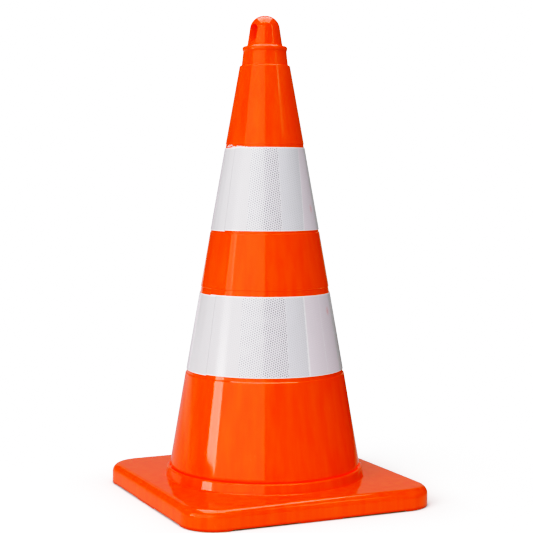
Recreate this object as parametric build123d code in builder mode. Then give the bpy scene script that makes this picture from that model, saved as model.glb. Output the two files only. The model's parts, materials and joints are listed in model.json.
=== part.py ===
"""Two-part road cone, 750 mm tall: a hollow cone plugged into the collar of a ballasted square base.

Millimetres, +Z up. The origin is the middle of the base on the ground. The base's sides run along X and Y.
"""

import os
from math import cos, radians, sin, sqrt

from build123d import *

# Driving dimensions of the whole cone
total_height = 750.0
base_side = 400.0
base_corner_radius = 52.0
wall = 2.6
running_gap = 0.4
seat_gap = 0.3

# Base shell: a crowned square tray, open underneath
rim_bottom = 1.0
rim_relief_depth = 1.5
rim_relief_from = 34.0
rim_relief_to = 142.0
rim_relief_middle = (rim_relief_from + rim_relief_to) / 2
base_wall = 3.0
crown_height = 31.8
crown_fall = 0.008
top_edge_radius = 12.5

# Collar ring standing on the base, with the round socket inside it
collar_foot_radius = 156.0
collar_foot_fillet = 1.5
crest_outer_radius = 153.1
crest_outer_height = 45.8
crest_rounding = 1.6
collar_top = 47.4
ledge_radius = 149.7
ledge_height = 43.4
ledge_rim_radius = 0.6
ledge_lip_radius = 1.5
socket_top_radius = 141.4
socket_bottom_radius = 140.4
socket_outer_radius = 144.4
seat_bottom = 2.6
seat_thickness = 3.0
seat_inner_radius = 135.4

# How far a picked edge may lie from where it is looked for
edge_tolerance = 0.1

# Derived sizes of the socket and of the spigot that plugs into it
seat_top = seat_bottom + seat_thickness
socket_middle_radius = socket_outer_radius - base_wall / 2
spigot_bottom = seat_top + seat_gap
spigot_bottom_radius = socket_bottom_radius - running_gap
spigot_top_radius = socket_top_radius - running_gap
collar_roundings = (
    (crest_outer_radius, crest_outer_height, crest_rounding),
    (ledge_radius, collar_top, ledge_rim_radius),
    (socket_top_radius, ledge_height, ledge_lip_radius),
    (collar_foot_radius, crown_height, collar_foot_fillet),
)

# Ribs between the socket and the rim, in the middle of each side
rib_offsets = (-45.0, 0.0, 45.0)
rib_thickness = 2.6
rib_bottom = 4.0

# Cone wall; its foot, below the lower sleeve, stands out a little
wall_foot_height = 48.4
wall_foot_radius = 148.7
skirt_step = 0.6
wall_top_height = 665.9
wall_top_radius = 40.5
wall_bulge = 0.95
shoulder_height = 44.0
shoulder_edge_radius = 7.0
neck_shoulder = 671.7

# Shallow seats for the reflective sleeves, and the sleeves
seat_depth = 0.9
sleeve_seats = ((192.7, 328.4), (412.7, 550.0))
sleeve_spans = ((198.3, 319.4), (416.2, 544.9))
adhesive_layer = 0.05
sleeve_thickness = 0.95
overlap_thickness = 0.45
overlap_angle = 7.0
overlap_middle = -156.0

# Corners of the neck, the bead and the dome: radius, height and rounding of each
neck_foot = (36.4, 672.7, 0.8)
neck_top = (33.9, 693.9, 0.8)
bead_underside = (35.0, 696.6, 1.2)
bead_top = (35.2, 702.0, 3.0)
dome_foot = (27.7, 702.2, 4.0)
dome_crown_radius = 20.4
dome_crown_rounding = 22.0
shoulder_rounding = 2.0

# Hollow under the head, and the height where the hollow starts to follow the wall
head_hollow = ((0, 700.5), (22.0, 700.5), (30.0, 692.5), (33.0, 670.5))
hollow_wall_top = 660.0
hollow_wall_foot = 58.0

# Head's eye
eye_turn = -165.0
eye_top_centre = 727.7
eye_top_radius = 5.2
eye_low_centre = 717.0
eye_low_radius = 4.0
eye_flare = 10.0
eye_reach = 40.0

# Ballast, its screws and the feet
ballast_bottom = 3.0
ballast_top = 24.5
ballast_rim_gap = 2.0
ballast_socket_gap = 1.5
ballast_rib_gap = 1.7
ballast_edge = 1.2
screw_near = 78.0
screw_far = 172.0
screw_radius = 2.0
bore_gap = 0.1
screw_hole_gap = 0.5
screw_head_radius = 4.6
screw_head_height = 2.6
screw_head_recess_radius = 6.0
screw_head_recess = 5.0
screw_length = 16.0
driver_slot_width = 1.2
driver_slot_length = 6.0
driver_slot_depth = 1.4
boss_radius = 5.0
boss_bottom = 15.8
boss_pilot_depth = 9.0
boss_pocket_radius = 5.6
boss_pocket_bottom = 15.2
foot_diagonal = 154.0
foot_radius = 17.0
foot_height = 5.8
foot_groove_depth = 1.0
foot_groove_radii = (5.0, 10.0, 14.0)
foot_groove_width = 1.4
foot_recess_radius = 17.6
foot_recess_top = 6.0
stem_radius = 4.0
stem_top = 17.0
stem_hole_radius = 4.1

os.makedirs("parts", exist_ok=True)


def wall_radius(height):
    """Outer radius of the gently bulging cone wall at a height."""
    rise = (height - wall_foot_height) / (wall_top_height - wall_foot_height)
    chord = wall_foot_radius + (wall_top_radius - wall_foot_radius) * rise
    return chord + 4 * wall_bulge * rise * (1 - rise)


def crown(radius, drop=0.0):
    """Height of the base's sloping top at a radius from the middle."""
    return crown_height - drop - crown_fall * (radius - collar_foot_radius)


def save(piece, name):
    piece.part.label = name
    export_step(piece.part, f"parts/{name}.step")


def square_tray(inset, bottom, drop, edge):
    """Rounded square block under the sloping crown, moved in and down from the base's outside."""
    side = base_side - 2 * inset
    with BuildPart() as block:
        with BuildSketch(Plane.XY.offset(bottom)):
            RectangleRounded(side, side, base_corner_radius - inset)
        extrude(amount=base_side)
        with BuildSketch(Plane.XZ):
            with BuildLine():
                Polyline(
                    (0, 0),
                    (base_side, 0),
                    (base_side, crown(base_side, drop)),
                    (0, crown(0, drop)),
                    close=True,
                )
            make_face()
        revolve(axis=Axis.Z, mode=Mode.INTERSECT)
        highest = crown(side / 2, drop) + edge_tolerance
        top_edges = block.edges().filter_by_position(Axis.Z, crown(base_side, drop), highest)
        fillet(top_edges, edge)
    return block.part


# Base shell: the ribs and the screw bosses are left standing in its hollow
boss_places = ((screw_near, screw_far), (screw_far, screw_near))
quarter_turns = (0, 90, 180, 270)

with BuildPart() as tray_hollow:
    add(square_tray(base_wall, 0.0, base_wall, top_edge_radius - base_wall))
    for turn in quarter_turns:
        with BuildSketch(Plane.XY.offset(rib_bottom).rotated((0, 0, turn))):
            for offset in rib_offsets:
                inner = sqrt(socket_middle_radius ** 2 - offset ** 2)
                with Locations((offset, (inner + base_side / 2) / 2)):
                    Rectangle(rib_thickness, base_side / 2 - inner)
        extrude(amount=crown_height, mode=Mode.SUBTRACT)
        with BuildSketch(Plane.XY.offset(boss_bottom).rotated((0, 0, turn))):
            with Locations(*boss_places):
                Circle(boss_radius)
                Circle(screw_radius + bore_gap, mode=Mode.SUBTRACT)
        extrude(amount=boss_pilot_depth, mode=Mode.SUBTRACT)
        with BuildSketch(Plane.XY.offset(boss_bottom + boss_pilot_depth).rotated((0, 0, turn))):
            with Locations(*boss_places):
                Circle(boss_radius)
        extrude(amount=crown_height, mode=Mode.SUBTRACT)

with BuildPart() as base_shell:
    add(square_tray(0.0, rim_bottom, 0.0, top_edge_radius))
    add(tray_hollow.part, mode=Mode.SUBTRACT)
    with BuildSketch():
        Circle(socket_middle_radius)
    extrude(amount=total_height, mode=Mode.SUBTRACT)
    # Socket wall with the seat at its foot, and the collar with a ledge inside its lip
    with BuildSketch(Plane.XZ):
        with BuildLine():
            Polyline(
                (seat_inner_radius, seat_bottom),
                (socket_outer_radius, seat_bottom),
                (socket_outer_radius, crown(socket_outer_radius, base_wall / 2)),
                (collar_foot_radius, crown(collar_foot_radius, base_wall / 2)),
                (collar_foot_radius, crown_height),
                (crest_outer_radius, crest_outer_height),
                (ledge_radius, collar_top),
                (ledge_radius, ledge_height),
                (socket_top_radius, ledge_height),
                (socket_bottom_radius, seat_top),
                (seat_inner_radius, seat_top),
                close=True,
            )
        make_face()
    revolve(axis=Axis.Z)
    for radius, height, rounding in collar_roundings:
        level = (height - edge_tolerance, height + edge_tolerance)
        circles = base_shell.edges().filter_by(GeomType.CIRCLE).filter_by_position(Axis.Z, *level)
        fillet(circles.filter_by(lambda edge: abs(edge.radius - radius) < edge_tolerance), rounding)
    # The rim is relieved between its corners and the pads in the middle of its sides
    for turn in quarter_turns:
        with BuildSketch(Plane.XY.rotated((0, 0, turn))):
            with Locations((-rim_relief_middle, base_side / 2), (rim_relief_middle, base_side / 2)):
                Rectangle(rim_relief_to - rim_relief_from, 4 * base_wall)
        extrude(amount=rim_bottom + rim_relief_depth, mode=Mode.SUBTRACT)
save(base_shell, "base_shell")

# Ballast: a recycled rubber block in each corner of the tray, screwed to the roof's bosses
block_side = base_side - 2 * (base_wall + ballast_rim_gap)
block_start = rib_offsets[-1] + rib_thickness / 2 + ballast_rib_gap
corners = (("back_right", 0), ("back_left", 90), ("front_left", 180), ("front_right", 270))

for corner_name, turn in corners:
    with BuildPart() as ballast:
        floor_plane = Plane.XY.offset(ballast_bottom).rotated((0, 0, turn))
        with BuildSketch(floor_plane):
            RectangleRounded(block_side, block_side, base_corner_radius - base_wall - ballast_rim_gap)
            Circle(socket_outer_radius + ballast_socket_gap, mode=Mode.SUBTRACT)
            with Locations((block_start, block_start)):
                Rectangle(base_side, base_side, align=(Align.MIN, Align.MIN), mode=Mode.INTERSECT)
        extrude(amount=ballast_top - ballast_bottom)
        ends = ballast.faces().filter_by(Axis.Z)
        chamfer(ends.edges(), ballast_edge)
        with BuildSketch(floor_plane):
            with Locations(*boss_places):
                Circle(screw_radius + screw_hole_gap)
            with Locations((foot_diagonal, foot_diagonal)):
                Circle(stem_hole_radius)
        extrude(amount=stem_top + seat_gap - ballast_bottom, mode=Mode.SUBTRACT)
        with BuildSketch(floor_plane):
            with Locations(*boss_places):
                Circle(screw_head_recess_radius)
        extrude(amount=screw_head_recess, mode=Mode.SUBTRACT)
        with BuildSketch(floor_plane):
            with Locations((foot_diagonal, foot_diagonal)):
                Circle(foot_recess_radius)
        extrude(amount=foot_recess_top - ballast_bottom, mode=Mode.SUBTRACT)
        with BuildSketch(Plane.XY.offset(boss_pocket_bottom).rotated((0, 0, turn))):
            with Locations(*boss_places):
                Circle(boss_pocket_radius)
        extrude(amount=ballast_top, mode=Mode.SUBTRACT)
    save(ballast, f"ballast_{corner_name}")

# Feet: rubber buttons with a stem, pressed into the ballast blocks
for corner_name, turn in corners:
    with BuildPart() as foot:
        with BuildSketch(Plane.XY.rotated((0, 0, turn))):
            with Locations((foot_diagonal, foot_diagonal)):
                Circle(foot_radius)
        extrude(amount=foot_height)
        with BuildSketch(Plane.XY.rotated((0, 0, turn))):
            with Locations((foot_diagonal, foot_diagonal)):
                Circle(stem_radius)
        extrude(amount=stem_top)
        with BuildSketch(Plane.XY.rotated((0, 0, turn))):
            with Locations((foot_diagonal, foot_diagonal)):
                for radius in foot_groove_radii:
                    Circle(radius + foot_groove_width / 2)
                    Circle(radius - foot_groove_width / 2, mode=Mode.SUBTRACT)
        extrude(amount=foot_groove_depth, mode=Mode.SUBTRACT)
    save(foot, f"foot_{corner_name}")

# Slotted pan head screws that hold the ballast
screw_seat = ballast_bottom + screw_head_recess
with BuildPart() as ballast_screws:
    for turn in quarter_turns:
        with BuildSketch(Plane.XY.offset(screw_seat - screw_head_height).rotated((0, 0, turn))):
            with Locations(*boss_places):
                Circle(screw_head_radius)
        extrude(amount=screw_head_height)
        with BuildSketch(Plane.XY.offset(screw_seat).rotated((0, 0, turn))):
            with Locations(*boss_places):
                Circle(screw_radius)
        extrude(amount=screw_length)
        with BuildSketch(Plane.XY.offset(screw_seat - screw_head_height).rotated((0, 0, turn))):
            with Locations(*boss_places):
                Rectangle(driver_slot_length, driver_slot_width)
        extrude(amount=driver_slot_depth, mode=Mode.SUBTRACT)
save(ballast_screws, "ballast_screws")


def seated_wall_points():
    """The cone wall's corners above its foot, at the stepped seats of the sleeves, from the lowest up."""
    skirt_top = sleeve_seats[0][0] - skirt_step
    points = [(wall_radius(skirt_top) + skirt_step, skirt_top)]
    for low, high in sleeve_seats:
        points += [
            (wall_radius(low), low),
            (wall_radius(low + seat_depth) - seat_depth, low + seat_depth),
            (wall_radius(high - seat_depth) - seat_depth, high - seat_depth),
            (wall_radius(high), high),
        ]
    return points


# Cone body: corners with a rounding are (radius, height, rounding), plain ones (radius, height)
foot_corner = (wall_radius(shoulder_height) + skirt_step, shoulder_height, shoulder_edge_radius)
head_corners = (
    (wall_radius(neck_shoulder), neck_shoulder, shoulder_rounding),
    neck_foot,
    neck_top,
    bead_underside,
    bead_top,
    dome_foot,
    (dome_crown_radius, total_height, dome_crown_rounding),
)
seat_ends = [height for seat in sleeve_seats for height in seat]
hollow_heights = (hollow_wall_top, *reversed(seat_ends), hollow_wall_foot)
inner_outline = [
    *head_hollow,
    *[(wall_radius(height) - wall, height) for height in hollow_heights],
    (spigot_top_radius - wall, shoulder_height - wall),
    (spigot_bottom_radius - wall, spigot_bottom),
]

with BuildPart() as cone_body:
    with BuildSketch(Plane.XZ) as section:
        with BuildLine():
            Polyline(
                *inner_outline,
                (spigot_bottom_radius, spigot_bottom),
                (spigot_top_radius, shoulder_height),
                foot_corner[:2],
                *seated_wall_points(),
                *[corner[:2] for corner in head_corners],
                (0, total_height),
                close=True,
            )
        make_face()
        for radius, height, rounding in (foot_corner, *head_corners):
            fillet(section.vertices().sort_by_distance((radius, height, 0))[0], rounding)
    revolve(axis=Axis.Z)
    # The eye goes right through the head and flares towards both mouths
    for way in (1, -1):
        eye_facing = (way * cos(radians(eye_turn)), way * sin(radians(eye_turn)), 0)
        eye_across = (-way * sin(radians(eye_turn)), way * cos(radians(eye_turn)), 0)
        with BuildSketch(Plane(origin=(0, 0, 0), x_dir=eye_across, z_dir=eye_facing)):
            with Locations((0, eye_top_centre)):
                Circle(eye_top_radius)
            with Locations((0, eye_low_centre)):
                Circle(eye_low_radius)
            make_hull()
        extrude(amount=eye_reach, taper=-eye_flare, mode=Mode.SUBTRACT)
save(cone_body, "cone_body")


def radial_plane(angle):
    """Upright plane through the axis, its X pointing outwards at an angle from +X."""
    outwards = (cos(radians(angle)), sin(radians(angle)), 0)
    return Plane(origin=(0, 0, 0), x_dir=outwards, z_dir=(outwards[1], -outwards[0], 0))


# Reflective sleeves: a wrapped sheet each, double where its ends overlap
sleeve_names = ("lower_sleeve", "upper_sleeve")
for sleeve_name, (low, high) in zip(sleeve_names, sleeve_spans):
    inner_offset = adhesive_layer - seat_depth
    outer_offset = inner_offset + sleeve_thickness
    with BuildPart() as sleeve:
        with BuildSketch(Plane.XZ):
            with BuildLine():
                Polyline(
                    (wall_radius(low) + inner_offset, low),
                    (wall_radius(low) + outer_offset, low),
                    (wall_radius(high) + outer_offset, high),
                    (wall_radius(high) + inner_offset, high),
                    close=True,
                )
            make_face()
        revolve(axis=Axis.Z)
        with BuildSketch(radial_plane(overlap_middle - overlap_angle / 2)):
            with BuildLine():
                Polyline(
                    (wall_radius(low) + inner_offset, low),
                    (wall_radius(low) + outer_offset + overlap_thickness, low),
                    (wall_radius(high) + outer_offset + overlap_thickness, high),
                    (wall_radius(high) + inner_offset, high),
                    close=True,
                )
            make_face()
        revolve(axis=Axis.Z, revolution_arc=-overlap_angle)
    save(sleeve, sleeve_name)
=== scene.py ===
"""Looks of a two-part road cone: glossy orange plastic with prismatic reflective sleeves."""

import json
import math
import random

import bmesh
import bpy
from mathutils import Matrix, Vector


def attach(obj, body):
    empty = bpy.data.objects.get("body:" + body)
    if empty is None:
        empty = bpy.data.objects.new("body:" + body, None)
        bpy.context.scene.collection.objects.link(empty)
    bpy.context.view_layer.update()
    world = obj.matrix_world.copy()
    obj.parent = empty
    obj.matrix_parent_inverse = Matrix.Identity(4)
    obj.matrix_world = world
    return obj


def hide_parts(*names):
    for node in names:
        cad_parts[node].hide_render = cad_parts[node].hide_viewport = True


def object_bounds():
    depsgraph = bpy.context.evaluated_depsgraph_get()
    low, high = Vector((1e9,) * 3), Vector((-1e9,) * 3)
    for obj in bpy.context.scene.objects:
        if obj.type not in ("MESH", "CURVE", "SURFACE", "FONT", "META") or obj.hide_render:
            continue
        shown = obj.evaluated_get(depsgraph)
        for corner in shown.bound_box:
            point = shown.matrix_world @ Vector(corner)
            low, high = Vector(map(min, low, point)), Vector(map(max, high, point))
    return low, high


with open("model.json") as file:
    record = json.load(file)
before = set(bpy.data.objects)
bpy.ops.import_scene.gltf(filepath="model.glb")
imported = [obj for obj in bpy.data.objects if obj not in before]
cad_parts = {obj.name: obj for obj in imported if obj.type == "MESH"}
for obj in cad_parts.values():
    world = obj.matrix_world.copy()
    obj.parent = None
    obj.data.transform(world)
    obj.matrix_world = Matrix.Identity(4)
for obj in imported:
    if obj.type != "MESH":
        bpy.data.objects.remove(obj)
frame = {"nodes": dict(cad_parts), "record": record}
cad_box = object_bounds()
nodes = frame["nodes"]

MM = 0.001


# ---------------------------------------------------------------- camera

CAMERA_TURN = math.radians(23.47)   # round the object from its front, towards its left
CAMERA_DISTANCE = 2.1885
CAMERA_SIDESTEP = -0.0483
CAMERA_HEIGHT = 0.512
CAMERA_TILT = math.radians(2.31)
CAMERA_LENS = 94.2
CAMERA_SHIFT = (0.0611, -0.0783)
CAMERA_REACH = 50                   # beyond the far edge of the floor


def make_camera():
    camera = bpy.data.objects.new("camera", bpy.data.cameras.new("camera"))
    bpy.context.scene.collection.objects.link(camera)
    across = Vector((math.cos(CAMERA_TURN), -math.sin(CAMERA_TURN), 0))
    towards = Vector((math.sin(CAMERA_TURN), math.cos(CAMERA_TURN), 0))
    stand = across * CAMERA_SIDESTEP - towards * CAMERA_DISTANCE
    camera.location = stand + Vector((0, 0, CAMERA_HEIGHT))
    camera.rotation_euler = (math.pi / 2 - CAMERA_TILT, 0, -CAMERA_TURN)
    camera.data.lens = CAMERA_LENS
    camera.data.shift_x, camera.data.shift_y = CAMERA_SHIFT
    camera.data.clip_end = CAMERA_REACH
    bpy.context.scene.camera = camera


# ---------------------------------------------------------------- shader helpers

class Shader:
    """A material's node tree, with short calls for the nodes used here."""

    def __init__(self, name):
        self.material = bpy.data.materials.new(name)
        self.material.use_nodes = True
        self.tree = self.material.node_tree
        self.surface = self.tree.nodes["Principled BSDF"]

    def node(self, kind, **settings):
        made = self.tree.nodes.new(kind)
        for key, value in settings.items():
            setattr(made, key, value)
        return made

    def link(self, source, target):
        self.tree.links.new(source, target)

    def put(self, socket, value):
        if isinstance(value, bpy.types.NodeSocket):
            self.link(value, socket)
        else:
            socket.default_value = value

    def set(self, **values):
        for key, value in values.items():
            self.put(self.surface.inputs[key.replace("_", " ")], value)

    def math(self, operation, first, second=0.0, third=0.0):
        made = self.node("ShaderNodeMath", operation=operation)
        for socket, value in zip(made.inputs, (first, second, third)):
            self.put(socket, value)
        return made.outputs[0]

    def times(self, first, second):
        return self.math("MULTIPLY", first, second)

    def length(self, first, second):
        """How far from zero the point with these two coordinates is."""
        squares = [self.times(part, part) for part in (first, second)]
        return self.math("SQRT", self.math("ADD", *squares))

    def split(self, vector):
        made = self.node("ShaderNodeSeparateXYZ")
        self.link(vector, made.inputs[0])
        return made.outputs

    def place(self, scale=(1, 1, 1), offset=(0, 0, 0)):
        coordinates = self.node("ShaderNodeTexCoord").outputs["Object"]
        mapping = self.node("ShaderNodeMapping")
        mapping.inputs["Scale"].default_value = scale
        mapping.inputs["Location"].default_value = offset
        self.link(coordinates, mapping.inputs["Vector"])
        return mapping.outputs[0]

    def noise(self, where, scale, detail=3.0, roughness=0.5, distortion=0.0):
        made = self.node("ShaderNodeTexNoise")
        self.link(where, made.inputs["Vector"])
        settings = {"Scale": scale, "Detail": detail, "Roughness": roughness, "Distortion": distortion}
        for key, value in settings.items():
            made.inputs[key].default_value = value
        return made.outputs[0]

    def ramp(self, factor, low, high, start=0.0, end=1.0):
        made = self.node("ShaderNodeMapRange")
        for socket, value in zip(made.inputs, (factor, low, high, start, end)):
            self.put(socket, value)
        return made.outputs[0]

    def mix(self, factor, first, second):
        made = self.node("ShaderNodeMix", data_type="RGBA")
        self.put(made.inputs["Factor"], factor)
        self.put(made.inputs["A"], first)
        self.put(made.inputs["B"], second)
        return made.outputs["Result"]

    def bump(self, height, strength, distance, normal=None):
        made = self.node("ShaderNodeBump")
        made.inputs["Strength"].default_value = strength
        made.inputs["Distance"].default_value = distance
        self.link(height, made.inputs["Height"])
        if normal:
            self.link(normal, made.inputs["Normal"])
        return made.outputs[0]


def mix_surfaces(tree, factor, first, second):
    """The first surface where the factor is 0, the second where it is 1."""
    made = tree.nodes.new("ShaderNodeMixShader")
    for socket, source in zip(made.inputs, (factor, first, second)):
        tree.links.new(source, socket)
    return made.outputs[0]


# ---------------------------------------------------------------- orange plastic

ORANGE = (0.93, 0.024, 0.0003, 1)
LIT_ORANGE = (0.98, 0.042, 0.0006, 1)
# painted shade in creases
CREASE_SHADE_ORANGE = (0.80, 0.010, 0.0002, 1)
# painted glow in creases
PAINTED_GLOW_ORANGE = (1.0, 0.012, 0.0002, 1)
# painted shade at the base's rim
RIM_SHADE_ORANGE = (0.50, 0.006, 0.0002, 1)
SCRATCH_ORANGE = (1.0, 0.16, 0.06, 1)
ORANGE_GLEAM = (1.0, 0.88, 0.66, 1)
ORANGE_DEPTHS = (1.0, 0.15, 0.03)       # how far red, green and blue go under the surface
SCATTERING = 6 * MM

STREAK_SCALE = (70, 70, 0.9)            # fine round the cone, long up it
STREAK_SHARE, CLOUD_SHARE = 0.7, 0.3
SCRATCH_SCALE, SCRATCH_OFFSET = (260, 260, 18), (3, 1, 2)
SCRATCH_PALENESS = 0.12
SCRATCH_HAZE = 0.12
CREASE_SHADE_REACH = 9 * MM                   # how far the painted crease shade reaches
PAINTED_GLOW = 0.55                          # strength of the painted glow in a crease, standing for light that seeps through the plastic
RIM_SHADE_FULL, RIM_SHADE_GONE = 2 * MM, 6 * MM    # heights between which the base's rim comes out of its painted shade


def orange_plastic():
    """Glossy moulded polyethylene: upright draw streaks, slow clouds, and fine scratches that show pale."""
    shader = Shader("orange_plastic")
    where = shader.place()
    clouds = shader.ramp(shader.noise(where, 9.0, detail=4.0), 0.35, 0.65)
    streaks = shader.noise(shader.place(scale=STREAK_SCALE), 1.0, detail=3.0, roughness=0.55)
    fine = shader.noise(where, 900.0, detail=2.0)
    scratches = shader.noise(
        shader.place(scale=SCRATCH_SCALE, offset=SCRATCH_OFFSET), 1.0, detail=2.0, roughness=0.4, distortion=2.5
    )
    scratches = shader.ramp(scratches, 0.70, 0.76)
    cloudy = shader.times(clouds, CLOUD_SHARE)
    tone = shader.math("MULTIPLY_ADD", shader.ramp(streaks, 0.36, 0.64), STREAK_SHARE, cloudy)
    colour = shader.mix(tone, ORANGE, LIT_ORANGE)

    # painted shade deepens the orange in creases and a painted glow lights them a little; painted shade darkens
    # the rim towards the ground
    open_sky = shader.node("ShaderNodeAmbientOcclusion", samples=8)
    open_sky.inputs["Distance"].default_value = CREASE_SHADE_REACH
    crease_shade = shader.ramp(open_sky.outputs["AO"], 0.3, 0.92, 1.0, 0.0)
    colour = shader.mix(crease_shade, colour, CREASE_SHADE_ORANGE)
    above_rim_shade = shader.ramp(shader.split(where)[2], RIM_SHADE_FULL, RIM_SHADE_GONE)
    colour = shader.mix(above_rim_shade, RIM_SHADE_ORANGE, colour)
    painted_glow = shader.times(shader.times(crease_shade, above_rim_shade), PAINTED_GLOW)
    shader.set(Emission_Color=PAINTED_GLOW_ORANGE, Emission_Strength=painted_glow)

    shader.set(Base_Color=shader.mix(shader.times(scratches, SCRATCH_PALENESS), colour, SCRATCH_ORANGE))
    roughness = shader.ramp(streaks, 0.3, 0.7, 0.045, 0.075)
    shader.set(Roughness=shader.math("MULTIPLY_ADD", scratches, SCRATCH_HAZE, roughness), IOR=1.45)
    shader.set(Specular_Tint=ORANGE_GLEAM)
    shader.set(Subsurface_Weight=0.25, Subsurface_Radius=ORANGE_DEPTHS, Subsurface_Scale=SCATTERING)
    waves = shader.bump(streaks, strength=0.22, distance=0.3 * MM)
    shader.set(Normal=shader.bump(fine, strength=0.03, distance=0.1 * MM, normal=waves))
    return shader.material


# ---------------------------------------------------------------- reflective sheeting

# The sleeves' twenty upright panels: each one's tint, how strongly its prisms show, the pale line at its start
# The tints and prism strengths are partly the sheet's own panels and partly painted reflection.
PALE = (0.54, 0.532, 0.555)
VIOLET = (0.51, 0.488, 0.525)
BLUE = (0.515, 0.512, 0.552)
PINK = (0.61, 0.535, 0.595)
GREY = (0.515, 0.497, 0.515)
PANELS_AND_PAINTED_REFLECTION = (
    (GREY, 0.05, 0.0), (GREY, 0.12, 0.0), (PALE, 0.7, 0.0), (VIOLET, 1.0, 0.0), (BLUE, 0.2, 1.0),
    (PINK, 0.05, 1.0), (PINK, 0.05, 0.0), (GREY, 0.1, 0.2), (PALE, 0.5, 0.0), (VIOLET, 0.95, 0.0),
    (BLUE, 0.25, 0.7), (PALE, 0.1, 0.8), (GREY, 0.0, 0.0), (PINK, 0.05, 0.0), (VIOLET, 0.8, 0.1),
    (PALE, 0.5, 0.0), (BLUE, 0.2, 0.6), (GREY, 0.05, 0.0), (PINK, 0.1, 0.7), (GREY, 0.0, 0.0),
)
# Angles are in degrees round the cone. One of the boundaries leans, and its neighbours stay upright.
PANEL_START = -170.3
LINE_START, LEANING, LEAN_END = -98.3, -80.3, -44.3
LOWER_LEAN = (10.0, 0.315)              # degrees per metre of height, and the height where it is at LEANING
UPPER_LEAN = (73.0, 0.2775)
LEAN_CHANGE = (0.36, 0.38)              # heights between the sleeves, where one lean gives way to the other
BOUNDARY_WANDER = 0.8                   # degrees to either side

PRISM_PITCH = 3.7 * MM
PRISM_DARK = (0.07, 0.062, 0.085, 1)
PRISM_GLINT = (0.66, 0.65, 0.68, 1)
PRISM_CONTRAST = 0.87
GLINT_CONTRAST = 0.8
MOTTLE_GREY = (0.40, 0.385, 0.40, 1)
MOTTLE_CONTRAST = 0.26
WEAVE_PITCH = 2.9 * MM
WEAVE_GREY = (0.30, 0.28, 0.30, 1)
WEAVE_CONTRAST = 0.10
LINE_WHITE = (0.66, 0.65, 0.67, 1)
BORDER_WHITE = (0.66, 0.65, 0.66, 1)
BORDER_INSIDE, BORDER_OUTSIDE = 2.2 * MM, 1.4 * MM
BORDER_RAGGEDNESS = 0.9 * MM
DIRT_GREY = (0.33, 0.30, 0.31, 1)
DIRT_CONTRAST = 0.14

STAIN_RED = (0.62, 0.16, 0.15, 1)
STAINS = ((-50.0, 0.293), (-51.0, 0.450))       # small red rubs: degrees round, height
STAIN_PER_DEGREE = 1.6 * MM
STAIN_FLATTENING = 0.6                  # below 1, so a rub is taller than it is wide
STAIN_CORE, STAIN_REACH = 1.5 * MM, 5 * MM
STAIN_STRENGTH = 0.55


def prism_lattice(shader, across, along):
    """Three families of waves at 60 degrees: 1 in the middle of each prism, 0 between prisms."""
    pace = 2 * math.pi / (PRISM_PITCH * math.sin(math.radians(60)))
    lattice = 0.0
    for turn in (0, 60, 120):
        along_part = shader.times(along, pace * math.sin(math.radians(turn)))
        wave = shader.math("MULTIPLY_ADD", across, pace * math.cos(math.radians(turn)), along_part)
        lattice = shader.math("ADD", lattice, shader.math("COSINE", wave))
    return shader.ramp(lattice, -1.0, 2.6)


def share_of_panels(shader, flat, angle, height):
    """How far round the panels a point is, from 0 to 1, with the leaning boundary made upright."""
    lower, upper = (
        shader.math("MULTIPLY_ADD", height, lean, LEANING - lean * level)
        for lean, level in (LOWER_LEAN, UPPER_LEAN)
    )
    leaning = shader.ramp(height, *LEAN_CHANGE, lower, upper)
    before = shader.math("MINIMUM", angle, LINE_START)
    left_of_it = shader.ramp(angle, LINE_START, leaning, 0.0, LEANING - LINE_START)
    right_of_it = shader.ramp(angle, leaning, LEAN_END, 0.0, LEAN_END - LEANING)
    after = shader.math("MAXIMUM", shader.math("SUBTRACT", angle, LEAN_END), 0.0)
    uneven = shader.noise(flat, 300.0, detail=3.0)
    turned = shader.math("MULTIPLY_ADD", uneven, 2 * BOUNDARY_WANDER, -BOUNDARY_WANDER)
    for term in (before, left_of_it, right_of_it, after):
        turned = shader.math("ADD", turned, term)
    return shader.math("FRACT", shader.math("MULTIPLY_ADD", turned, 1 / 360, 1 - PANEL_START / 360))


def stepped(shader, share, values):
    """A colour for each panel, from the share of the way round."""
    made = shader.node("ShaderNodeValToRGB")
    made.color_ramp.interpolation = "CONSTANT"
    stops = made.color_ramp.elements
    for place, value in enumerate(values):
        stop = stops[place] if place < 2 else stops.new(place / len(values))
        stop.position = place / len(values)
        stop.color = (*value, 1)
    shader.link(share, made.inputs[0])
    return made.outputs[0]


def stepped_grey(shader, share, values):
    """The same for plain numbers."""
    made = shader.node("ShaderNodeRGBToBW")
    shader.link(stepped(shader, share, [(value,) * 3 for value in values]), made.inputs[0])
    return made.outputs[0]


def stain(shader, angle, height, mottle, turn, level):
    """How strongly a red rub shows, patchy with the mottle."""
    sideways = shader.times(shader.math("SUBTRACT", angle, turn), STAIN_PER_DEGREE)
    upwards = shader.times(shader.math("SUBTRACT", height, level), STAIN_FLATTENING)
    away = shader.length(sideways, upwards)
    rubbed = shader.ramp(away, STAIN_CORE, STAIN_REACH, STAIN_STRENGTH, 0.0)
    return shader.times(rubbed, shader.ramp(mottle, 0.0, 1.0, 0.4, 1.0))


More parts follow.
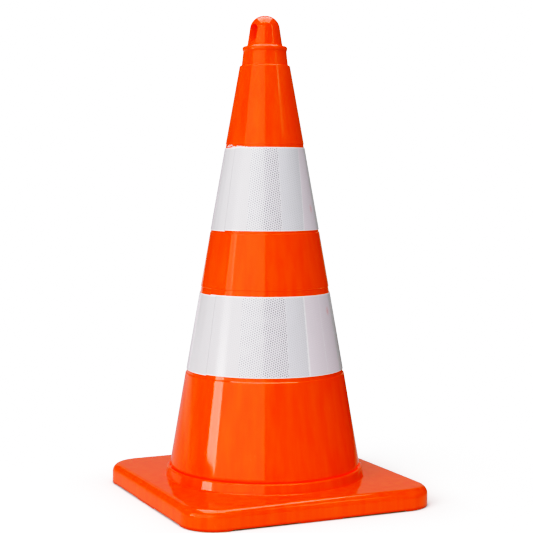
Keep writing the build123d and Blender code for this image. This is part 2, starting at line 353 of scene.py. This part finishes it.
def reflective_sheet():
    """White prismatic sheeting: upright panels, in some of which a lattice of dark prism centres shows."""
    shader = Shader("reflective_sheet")
    flat = shader.node("ShaderNodeUVMap", uv_map="flat").outputs[0]
    across, along = shader.split(flat)[:2]
    cells = prism_lattice(shader, across, along)
    x, y, z = shader.split(shader.place())
    angle = shader.times(shader.math("ARCTAN2", y, x), 180 / math.pi)
    share = share_of_panels(shader, flat, angle, z)

    # panels, their mottle and their prisms
    # the tints and how strongly the prisms show are partly painted reflection; the glints are painted
    # highlights
    tints_and_reflections, strengths, lines = zip(*PANELS_AND_PAINTED_REFLECTION)
    colour = stepped(shader, share, tints_and_reflections)
    mottle = shader.ramp(shader.noise(flat, 420.0, detail=4.0, roughness=0.7), 0.3, 0.7)
    colour = shader.mix(shader.times(mottle, MOTTLE_CONTRAST), colour, MOTTLE_GREY)
    patches = shader.ramp(shader.noise(flat, 60.0, detail=3.0), 0.3, 0.6, 0.55, 1.0)
    shown = shader.times(stepped_grey(shader, share, strengths), patches)
    dots = shader.times(shader.ramp(cells, 0.12, 0.7), shown)
    colour = shader.mix(shader.times(dots, PRISM_CONTRAST), colour, PRISM_DARK)
    glint = shader.times(shader.ramp(cells, 0.22, 0.0), shader.times(shown, GLINT_CONTRAST))
    colour = shader.mix(glint, colour, PRISM_GLINT)

    # faint weave in every panel, pale lines between some of them, the sealed border
    weave = shader.math("SINE", shader.times(along, 2 * math.pi / WEAVE_PITCH))
    colour = shader.mix(shader.ramp(weave, 0.2, 1.0, 0.0, WEAVE_CONTRAST), colour, WEAVE_GREY)
    within = shader.math("FRACT", shader.times(share, len(PANELS_AND_PAINTED_REFLECTION)))
    line = shader.times(shader.ramp(within, 0.09, 0.05), stepped_grey(shader, share, lines))
    colour = shader.mix(line, colour, LINE_WHITE)
    from_edge = shader.split(shader.node("ShaderNodeUVMap", uv_map="edge").outputs[0])[1]
    ragged = shader.math("MULTIPLY_ADD", shader.noise(flat, 260.0, detail=4.0), BORDER_RAGGEDNESS, from_edge)
    colour = shader.mix(shader.ramp(ragged, BORDER_INSIDE, BORDER_OUTSIDE), colour, BORDER_WHITE)

    for turn, level in STAINS:
        colour = shader.mix(stain(shader, angle, z, mottle, turn, level), colour, STAIN_RED)
    dirt = shader.noise(shader.place(scale=(30, 30, 9)), 1.0, detail=5.0, roughness=0.6)
    dirt = shader.ramp(dirt, 0.5, 0.8)
    shader.set(Base_Color=shader.mix(shader.times(dirt, DIRT_CONTRAST), colour, DIRT_GREY))
    shader.set(Roughness=shader.math("MULTIPLY_ADD", dirt, 0.12, 0.13), IOR=1.5)
    pressed = shader.bump(cells, strength=0.2, distance=0.2 * MM)
    ripples = shader.noise(shader.place(scale=(25, 25, 6)), 1.0, detail=3.0)
    shader.set(Normal=shader.bump(ripples, strength=0.12, distance=1.2 * MM, normal=pressed))
    return shader.material


# ---------------------------------------------------------------- rubber and steel

BALLAST_BLACK = (0.018, 0.018, 0.018, 1)
FOOT_BLACK = (0.012, 0.012, 0.012, 1)
CRUMB_PALENESS = 2.6        # how much lighter than the rubber its palest crumbs are
DULL_ZINC = (0.52, 0.53, 0.55, 1)
WARM_ZINC = (0.70, 0.69, 0.64, 1)


def rubber(name, colour, crumb):
    """Matte rubber: crumb is the grain's fineness, coarse in the recycled ballast."""
    shader = Shader(name)
    where = shader.place()
    grain = shader.noise(where, crumb, detail=5.0, roughness=0.65)
    lumps = shader.node("ShaderNodeTexVoronoi")
    shader.link(where, lumps.inputs["Vector"])
    lumps.inputs["Scale"].default_value = crumb * 0.4
    lumps = lumps.outputs["Distance"]
    lighter = tuple(CRUMB_PALENESS * channel for channel in colour[:3]) + (1,)
    tone = shader.times(grain, shader.ramp(lumps, 0.0, 0.7, 0.4, 1.0))
    shader.set(Base_Color=shader.mix(tone, colour, lighter), Roughness=shader.ramp(grain, 0.3, 0.7, 0.7, 0.95))
    pits = shader.bump(lumps, strength=0.5, distance=0.8 * MM)
    shader.set(Normal=shader.bump(grain, strength=0.6, distance=0.5 * MM, normal=pits))
    return shader.material


def screw_steel():
    """Zinc plated steel with a slight haze."""
    shader = Shader("screw_steel")
    grain = shader.noise(shader.place(), 1500.0, detail=3.0)
    bloom = shader.noise(shader.place(), 180.0, detail=3.0)
    shader.set(Base_Color=shader.mix(bloom, DULL_ZINC, WARM_ZINC), Metallic=1.0)
    shader.set(Roughness=shader.ramp(grain, 0.3, 0.7, 0.25, 0.45))
    shader.set(Normal=shader.bump(grain, strength=0.15, distance=0.05 * MM))
    return shader.material


# ---------------------------------------------------------------- reflective sleeves

SEAM_ANGLE = math.radians(-161.0)       # where the sheet's outer end stops
SEAM_OVERLAP = math.radians(7.5)
LAP_START = 2.2                         # the outer end leaves the wall this many overlaps before it stops
SHEET_THICKNESS = 0.45 * MM             # how proud of the rest the lapping end is
SHEET_DEPTH = 0.9 * MM
FOOT_INSET, TOP_INSET = 0.55 * MM, 0.75 * MM        # inside the ends of the CAD's sleeve
FOOT_WAVER, TOP_WAVER = 0.05 * MM, 0.06 * MM
TORN_HEIGHT = 0.9 * MM
EDGE_BAND, EDGE_DROP = 0.5 * MM, 0.18 * MM          # the long edges are slightly rounded over
SHARP_EDGE = math.radians(40)
COLUMNS = 420
ROWS = 24
EDGE_ROWS = (0.12, 0.5)                 # more rows close to each long edge


def cone_profile(node):
    """Low and high (height, outer radius) of a CAD sleeve, read on its side away from the overlap."""
    far = SEAM_ANGLE + math.pi
    points = [vertex.co for vertex in nodes[node].data.vertices]
    low, high = min(p.z for p in points), max(p.z for p in points)
    side = Vector((math.cos(far), math.sin(far), 0))

    def radius(level):
        return max(p.dot(side) for p in points if abs(p.z - level) < 0.2 * MM)

    return (low, radius(low)), (high, radius(high))


def sheeting_object(name, build):
    """The built mesh as an object made of reflective sheeting."""
    mesh = bpy.data.meshes.new(name)
    build.to_mesh(mesh)
    build.free()
    mesh.materials.append(materials["reflective_sheet"])
    made = bpy.data.objects.new(name, mesh)
    bpy.context.scene.collection.objects.link(made)
    return made


def wrapped_sheet(name, node, offset, ragged_from, seed):
    """A sheet wrapped once round the cone, its outer end lapping over its start a little out of line.

    The offset is the height between its two ends. The top is torn from ragged_from overlaps past the outer
    end on, so a negative number tears it before that end, and 0 leaves it whole.
    """
    (low, low_radius), (high, high_radius) = cone_profile(node)
    chance = random.Random(seed)
    slope = (high_radius - low_radius) / (high - low)
    apex = low - low_radius / slope
    lean = math.hypot(1, slope)
    total = 2 * math.pi + SEAM_OVERLAP
    flecks = [chance.uniform(-1, 1) for _ in range(COLUMNS + 1)]
    build = bmesh.new()
    flat = build.loops.layers.uv.new("flat")
    edge = build.loops.layers.uv.new("edge")
    marks = {}

    def sheet_point(column, row, depth):
        """The point itself, its turn from the sheet's start, and its distance from the nearer long edge."""
        share, rise = column / COLUMNS, row / ROWS
        turn = share * total
        angle = SEAM_ANGLE - total + turn
        lapped = min(1.0, max(0.0, (turn - (total - LAP_START * SEAM_OVERLAP)) / SEAM_OVERLAP))
        proud = SHEET_THICKNESS * (lapped * lapped * (3 - 2 * lapped))
        shift = offset * (share - 0.5)
        torn = 0.0
        past = (turn - total) / SEAM_OVERLAP
        if ragged_from < past:
            torn = (0.5 + 0.5 * flecks[column]) * TORN_HEIGHT * (1 + past / -ragged_from)
        bottom = low + FOOT_INSET + shift + FOOT_WAVER * flecks[column]
        top = high - TOP_INSET + shift + TOP_WAVER * flecks[-column - 1] + torn
        height = bottom + (top - bottom) * rise
        radius = low_radius + slope * (height - low) + proud - depth
        near = min(height - bottom, top - height)
        if depth == 0:
            radius -= EDGE_DROP * max(0.0, 1 - near / EDGE_BAND)
        return Vector((radius * math.cos(angle), radius * math.sin(angle), height)), turn, near

    rows = [0, *EDGE_ROWS, *range(1, ROWS), *(ROWS - row for row in reversed(EDGE_ROWS)), ROWS]
    grids = []
    for depth in (0.0, SHEET_DEPTH):
        grid = []
        for column in range(COLUMNS + 1):
            line = []
            for row in rows:
                point, turn, near = sheet_point(column, row, depth)
                vertex = build.verts.new(point)
                slant = (apex - point.z) * lean
                spread = turn * abs(slope) / lean
                marks[vertex] = (slant * math.sin(spread), slant * math.cos(spread)), near
                line.append(vertex)
            grid.append(line)
        grids.append(grid)
    outer, inner = grids
    last = len(rows) - 1
    face = build.faces.new
    for column in range(COLUMNS):
        out, out_next = outer[column:column + 2]
        back, back_next = inner[column:column + 2]
        for row in range(last):
            face((out[row], out_next[row], out_next[row + 1], out[row + 1]))
            face((back[row + 1], back_next[row + 1], back_next[row], back[row]))
        face((back[0], back_next[0], out_next[0], out[0]))
        face((out[last], out_next[last], back_next[last], back[last]))
    for row in range(last):
        face((inner[0][row], outer[0][row], outer[0][row + 1], inner[0][row + 1]))
        face((outer[-1][row], inner[-1][row], inner[-1][row + 1], outer[-1][row + 1]))
    for quad in build.faces:
        quad.smooth = True
        for loop in quad.loops:
            loop[flat].uv, near = marks[loop.vert]
            loop[edge].uv = (0, near)
    sheet = sheeting_object(name, build)
    sheet.data.set_sharp_from_angle(angle=SHARP_EDGE)
    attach(sheet, "cone")
    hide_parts(node)


FLAKES = 34
FLAKE_CORNERS = 9
FLAKES_FROM, FLAKES_TO = math.radians(-184.0), math.radians(-143.0)
FLAKES_LOW = 0.6 * MM                   # below the sleeve's upper end
FLAKES_REACH, FLAKES_LEAST = 4.2 * MM, 0.5 * MM     # how high above that, at the far end and everywhere
FLAKE_LENGTH, FLAKE_WIDTH = (1.2, 4.5), (0.25, 0.75)    # half sizes, in mm
FLAKE_TILT = 0.5
FLAKE_LIFT = (0.10, 0.45)               # mm
FLAKE_ROUGHNESS = (0.55, 1.0)
FLAKE_CURL, FLAKE_THICKNESS = 0.2 * MM, 0.15 * MM
SEAT_BELOW = 0.95 * MM                  # from a sleeve's face to the floor of its seat
SEAT_CLEARANCE = 0.2 * MM               # from that floor to a flake's face, before its lift


def torn_flakes(name, node, seed):
    """Slivers of torn sheet left stuck to the wall above a sleeve's overlap, tallest at its far end."""
    (low, low_radius), (high, high_radius) = cone_profile(node)
    slope = (high_radius - low_radius) / (high - low)
    chance = random.Random(seed)
    build = bmesh.new()
    for _ in range(FLAKES):
        along = chance.random() ** 1.4
        angle = FLAKES_FROM + (FLAKES_TO - FLAKES_FROM) * along
        reach = FLAKES_REACH * (1 - along) ** 0.8 + FLAKES_LEAST
        height = high - FLAKES_LOW + reach * chance.random()
        length = chance.uniform(*FLAKE_LENGTH) * MM
        width = chance.uniform(*FLAKE_WIDTH) * MM
        tilt = chance.uniform(-FLAKE_TILT, FLAKE_TILT)
        lift = chance.uniform(*FLAKE_LIFT) * MM
        rings = outer, inner = [], []
        for corner in range(FLAKE_CORNERS):
            turn = 2 * math.pi * corner / FLAKE_CORNERS
            rough = chance.uniform(*FLAKE_ROUGHNESS)
            sideways = length * rough * math.cos(turn)
            up = width * rough * math.sin(turn)
            sideways, up = sideways - up * tilt, up + sideways * tilt
            curl = lift + FLAKE_CURL * math.cos(turn)
            for ring, depth in zip(rings, (0.0, FLAKE_THICKNESS)):
                wall = high_radius + slope * (height + up - high) - SEAT_BELOW
                radius = wall + curl + SEAT_CLEARANCE - depth
                place = angle + sideways / radius
                point = (radius * math.cos(place), radius * math.sin(place), height + up)
                ring.append(build.verts.new(point))
        build.faces.new(outer)
        build.faces.new(inner[::-1])
        for corner in range(FLAKE_CORNERS):
            beside = (corner + 1) % FLAKE_CORNERS
            build.faces.new((outer[corner], inner[corner], inner[beside], outer[beside]))
    flakes = sheeting_object(name, build)
    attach(flakes, "cone")


# ---------------------------------------------------------------- studio

WHITE = 2.0         # what the tone curve shows as white
WORLD_FILL = 0.7    # what matte surfaces receive from the room
WORLD_GLOSS = 0.01  # what glossy surfaces see of it
FLOOR_FILL = 0.8    # what matte surfaces receive from the far floor
FLOOR_GLOW = 0.5    # the near floor is a light table, but not under the object
FLOOR_GLOSS = 0.45  # what glossy surfaces see of it
FLOOR_REACH = 30.0
FLOOR_WHITE = (0.93, 0.92, 0.92, 1)
UNDER_GREY = (0.2, 0.18, 0.18, 1)       # the shade under the base
FAR_FLOOR = (0.30, 0.55)                # distances between which the near floor gives way to the far one
BASE_CORNER = 52 * MM                   # radius of the base's corners, in plan


def make_floor():
    """A white sweep: it takes a soft shadow round the object and glows evenly further out."""
    mesh = bpy.data.meshes.new("floor")
    corners = [(FLOOR_REACH * x, FLOOR_REACH * y, 0) for x, y in ((-1, -1), (1, -1), (1, 1), (-1, 1))]
    mesh.from_pydata(corners, [], [(0, 1, 2, 3)])
    floor = bpy.data.objects.new("floor", mesh)
    bpy.context.scene.collection.objects.link(floor)
    shader = Shader("floor_paper")
    x, y = shader.split(shader.place())[:2]

    # near floor: matte, dark under the base and brighter away from it
    straight = cad_box[1][0] - BASE_CORNER
    beyond = []
    for side in (x, y):
        past = shader.math("SUBTRACT", shader.math("ABSOLUTE", side), straight)
        beyond.append(shader.math("MAXIMUM", past, 0.0))
    outside = shader.math("SUBTRACT", shader.length(*beyond), BASE_CORNER)
    paper = shader.mix(shader.ramp(outside, -4 * MM, 2 * MM), UNDER_GREY, FLOOR_WHITE)
    shader.set(Base_Color=paper, Roughness=0.9, Emission_Color=(1, 1, 1, 1))
    glow = shader.ramp(outside, -10 * MM, 100 * MM, 0.0, FLOOR_GLOW)
    shader.set(Specular_IOR_Level=0.0, Emission_Strength=glow)

    # far floor: plain light, white to the camera
    rays = shader.node("ShaderNodeLightPath")
    far = shader.node("ShaderNodeEmission")
    shader.link(shader.ramp(rays.outputs["Is Camera Ray"], 0.0, 1.0, FLOOR_FILL, WHITE), far.inputs["Strength"])
    seen = mix_surfaces(
        shader.tree, shader.ramp(shader.length(x, y), *FAR_FLOOR), shader.surface.outputs[0], far.outputs[0]
    )

    # in reflections it fades out towards the camera's right
    gloss = shader.node("ShaderNodeEmission")
    right = shader.math("MULTIPLY_ADD", x, math.cos(CAMERA_TURN), shader.times(y, -math.sin(CAMERA_TURN)))
    shader.link(shader.ramp(right, 0.2, 0.5, FLOOR_GLOSS, 0.0), gloss.inputs["Strength"])
    seen = mix_surfaces(shader.tree, rays.outputs["Is Glossy Ray"], seen, gloss.outputs[0])
    shader.link(seen, shader.tree.nodes["Material Output"].inputs["Surface"])
    mesh.materials.append(shader.material)


def make_world():
    """White to the camera, a soft fill on matte surfaces and a dim room in reflections."""
    world = bpy.data.worlds.new("studio")
    bpy.context.scene.world = world
    world.use_nodes = True
    tree = world.node_tree
    rays = tree.nodes.new("ShaderNodeLightPath").outputs

    def background(strength):
        made = tree.nodes.new("ShaderNodeBackground")
        made.inputs["Color"].default_value = (1, 1, 1, 1)
        made.inputs["Strength"].default_value = strength
        return made.outputs[0]

    room = mix_surfaces(tree, rays["Is Glossy Ray"], background(WORLD_FILL), background(WORLD_GLOSS))
    seen = mix_surfaces(tree, rays["Is Camera Ray"], room, background(WHITE))
    tree.links.new(seen, tree.nodes["World Output"].inputs["Surface"])


def panel(name, turn, height, distance, size, radiance, glossy=True, diffuse=True, aim=0.35, roll=0.0):
    """A softbox round the object, in degrees from the camera's side towards the camera's left.

    It faces the height aim on the object's axis, or straight down where aim is None.
    """
    light = bpy.data.lights.new(name, "AREA")
    light.shape = "RECTANGLE"
    light.size, light.size_y = size
    light.energy = radiance * math.pi * size[0] * size[1]
    holder = bpy.data.objects.new(name, light)
    bpy.context.scene.collection.objects.link(holder)
    angle = math.radians(-90 - turn) - CAMERA_TURN
    holder.location = (distance * math.cos(angle), distance * math.sin(angle), height)
    gaze = Vector((0, 0, -1)) if aim is None else Vector((0, 0, aim)) - holder.location
    holder.rotation_euler = gaze.to_track_quat("-Z", "Y").to_euler()
    if roll:
        holder.rotation_euler.rotate_axis("Z", math.radians(roll))
    holder.visible_glossy = glossy
    holder.visible_diffuse = diffuse
    holder.visible_camera = False


LEFT_STRIP = ((0.165, 0.42, 9.0), (0.42, 0.58, 5.0), (0.58, 0.95, 2.2))     # low end, high end, radiance
RIGHT_STRIP = ((1.52, 0.54, 2.2), (1.18, 0.14, 0.9))                        # middle, how tall, radiance


def make_lights():
    def matte(name, **setting):
        panel(name, glossy=False, **setting)

    def reflected(name, **setting):
        panel(name, diffuse=False, **setting)

    # matte light: a big box up on the left, and one overhead that mostly lights the floor
    matte("key", turn=36, height=1.6, distance=3.0, size=(2.2, 2.2), radiance=8.6)
    matte("overhead", turn=20, height=3.0, distance=0.6, size=(2.4, 2.4), radiance=3.4, aim=0.0)

    above = {"aim": None, "roll": -math.degrees(CAMERA_TURN)}
    reflected("sky", turn=180, height=2.6, distance=0.35, size=(2.2, 2.7), radiance=5.0, **above)
    reflected("left_wall", turn=33, height=1.25, distance=2.6, size=(3.3, 2.3), radiance=1.45, aim=1.1)
    reflected("backdrop", turn=180, height=0.8, distance=2.6, size=(2.6, 1.4), radiance=0.3, aim=0.8)
    reflected("left_back", turn=135, height=0.1, distance=2.6, size=(2.6, 0.5), radiance=0.2, aim=0.1)
    for low, high, radiance in LEFT_STRIP:
        middle, face = (low + high) / 2, (0.36, high - low)
        reflected("left_strip", turn=67, height=middle, distance=1.5, size=face, radiance=radiance, aim=middle)
    for middle, tall, radiance in RIGHT_STRIP:
        face = (0.28, tall)
        reflected("right_strip", turn=-58, height=middle, distance=1.6, size=face, radiance=radiance, aim=0.68)


# The camera's response, from the light on the sensor to the light on the page: a soft toe and a long shoulder.
# The curve's ends are there already: no light is black, and WHITE is white.
RESPONSE = (
    (0.01, 0.006), (0.03, 0.022), (0.06, 0.053), (0.1, 0.096), (0.3, 0.30), (0.5, 0.48), (0.7, 0.62),
    (0.95, 0.76), (1.3, 0.89), (1.65, 0.97),
)
# What becomes of the page's blue after that: deep oranges are left with hardly any.
BLUE_TOE = (
    (0.008, 0.001), (0.02, 0.006), (0.04, 0.022), (0.08, 0.065), (0.15, 0.145), (0.3, 0.30), (0.65, 0.65),
)


def set_response():
    settings = bpy.context.scene.view_settings
    settings.view_transform = "Standard"
    settings.use_curve_mapping = True
    mapping = settings.curve_mapping
    mapping.white_level = (WHITE, WHITE, WHITE)
    all_channels, blue = mapping.curves[3].points, mapping.curves[2].points
    for light, shown in RESPONSE:
        all_channels.new(light / WHITE, shown)
    for light, shown in BLUE_TOE:
        blue.new(light, shown)
    mapping.update()


# ---------------------------------------------------------------- making

make_camera()
make_world()
make_lights()
make_floor()

materials = {
    "orange_plastic": orange_plastic(),
    "reflective_sheet": reflective_sheet(),
    "ballast_rubber": rubber("ballast_rubber", BALLAST_BLACK, 420.0),
    "foot_rubber": rubber("foot_rubber", FOOT_BLACK, 900.0),
    "screw_steel": screw_steel(),
}
for part in frame["record"]["subparts"]:
    nodes[part["node"]].material_slots[0].material = materials[part["material_slot"]]

wrapped_sheet("lower_reflective_sheet", "lower_sleeve", offset=-1.2 * MM, ragged_from=0.0, seed=3)
wrapped_sheet("upper_reflective_sheet", "upper_sleeve", offset=-1.5 * MM, ragged_from=-3.0, seed=5)
torn_flakes("torn_sheet_flakes", "upper_sleeve", seed=8)

set_response()
